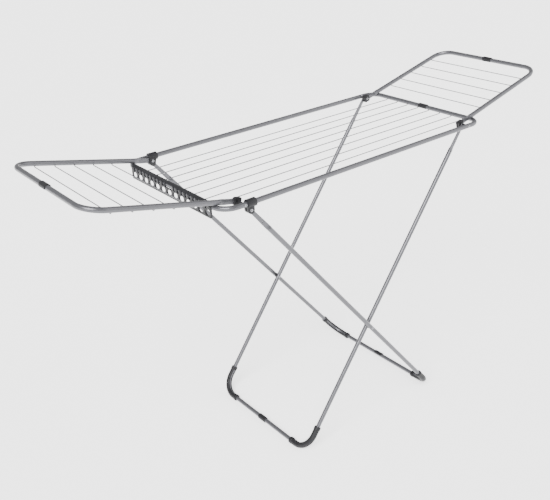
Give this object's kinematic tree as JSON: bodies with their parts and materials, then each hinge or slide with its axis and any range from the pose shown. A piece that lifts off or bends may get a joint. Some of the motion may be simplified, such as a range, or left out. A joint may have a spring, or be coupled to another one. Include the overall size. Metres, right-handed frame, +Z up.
{
  "type": "folding clothes airer",
  "caption": "Winged folding clothes airer: a long wire panel on two crossed tube leg frames, with two wings that fold over the panel and a strip with holes for socks on one end bar.",
  "frame": {"origin": "On the floor, under the centre of the open rack", "axes": "+X along the rails towards the wing that shares its hinge with the inner legs, +Y across the rack, +Z up"},
  "size_m": [1.8384, 0.566, 1.1182],
  "materials": {
    "tube": "satin",
    "wire": "satin",
    "fitting": "matte",
    "strip": "matte",
    "rivet": "bright"
  },
  "bodies": {
    "panel": {"panel_tube_near": "tube", "panel_tube_far": "tube", "panel_joint_plugs": "fitting", "panel_clip_right": "fitting", "sock_strip": "strip", "panel_wire_1": "wire", "panel_wire_2": "wire", "panel_wire_3": "wire", "panel_wire_4": "wire", "panel_wire_5": "wire", "panel_wire_6": "wire", "panel_wire_7": "wire", "panel_wire_8": "wire", "left_hinge_rivets": "rivet", "right_hinge_rivets": "rivet", "left_hinge_bushes": "fitting", "right_hinge_bushes": "fitting"},
    "inner_legs": {"inner_leg_near": "tube", "inner_leg_far": "tube", "inner_leg_plug": "fitting", "inner_leg_clip": "fitting", "inner_shoe_near": "fitting", "inner_shoe_far": "fitting"},
    "outer_legs": {"outer_leg_near": "tube", "outer_leg_far": "tube", "outer_leg_plug": "fitting", "outer_leg_clip": "fitting", "outer_shoe_near": "fitting", "outer_shoe_far": "fitting", "crossing_rivets": "rivet", "crossing_spacers": "fitting"},
    "sliders": {"slider_near": "fitting", "slider_far": "fitting", "slider_rivets": "rivet"},
    "left_wing": {"left_wing_tube_near": "tube", "left_wing_tube_far": "tube", "left_wing_plug": "fitting", "left_wing_clip": "fitting", "left_wing_cap_near": "fitting", "left_wing_cap_far": "fitting", "left_wing_wire_1": "wire", "left_wing_wire_2": "wire", "left_wing_wire_3": "wire", "left_wing_wire_4": "wire", "left_wing_wire_5": "wire"},
    "right_wing": {"right_wing_tube_near": "tube", "right_wing_tube_far": "tube", "right_wing_plug": "fitting", "right_wing_clip": "fitting", "right_wing_cap_near": "fitting", "right_wing_cap_far": "fitting", "right_wing_wire_1": "wire", "right_wing_wire_2": "wire", "right_wing_wire_3": "wire", "right_wing_wire_4": "wire", "right_wing_wire_5": "wire"}
  },
  "joints": [
    {"name": "left_wing_fold", "type": "hinge", "parent": "panel", "child": "left_wing", "pos_m": [-0.472, 0, 1], "axis": [0, 1, 0], "range_deg": [0, 166]},
    {"name": "right_wing_fold", "type": "hinge", "parent": "panel", "child": "right_wing", "pos_m": [0.472, 0, 1], "axis": [0, -1, 0], "range_deg": [0, 166]},
    {"name": "leg_close", "type": "hinge", "parent": "panel", "child": "inner_legs", "pos_m": [0.472, 0, 1], "axis": [0, -1, 0], "range_deg": [0, 28]},
    {"name": "leg_cross", "type": "hinge", "parent": "inner_legs", "child": "outer_legs", "pos_m": [0.003, 0, 0.392], "axis": [0, -1, 0], "range_deg": [-57, 0]},
    {"name": "slider_level", "type": "hinge", "parent": "outer_legs", "child": "sliders", "pos_m": [-0.456, 0, 0.981], "axis": [0, -1, 0], "range_deg": [0, 29]}
  ],
  "couplings": [
    {"joint": "leg_cross", "follows": "leg_close", "ratio": -2.0325},
    {"joint": "slider_level", "follows": "leg_close", "ratio": 1.0325}
  ]
}
